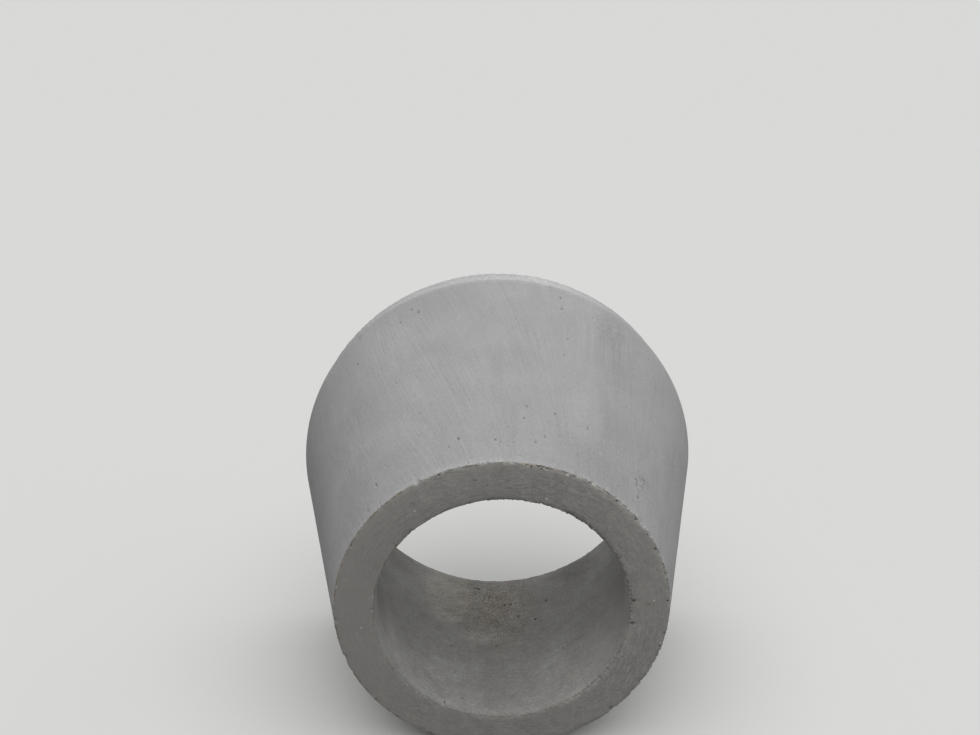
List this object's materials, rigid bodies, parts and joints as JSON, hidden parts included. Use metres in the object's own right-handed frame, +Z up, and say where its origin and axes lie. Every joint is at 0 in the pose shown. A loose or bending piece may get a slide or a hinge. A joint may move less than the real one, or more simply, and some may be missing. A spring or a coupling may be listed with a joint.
{
  "type": "eccentric concrete manhole cone",
  "caption": "Eccentric reducing cone of plain cast concrete, narrow round mouth to wide round base, lying on its straight side.",
  "frame": {"origin": "on the floor, under the middle of the outline", "axes": "+Y along the cone's axis, from the narrow mouth to the wide base; +Z up from the straight side that it lies on; +X to the right as seen from the mouth"},
  "size_m": [1.1048, 0.55, 1.105],
  "materials": {
    "concrete": "matt cast concrete, light grey"
  },
  "bodies": {
    "root": {"manhole_cone": "concrete"}
  },
  "joints": []
}
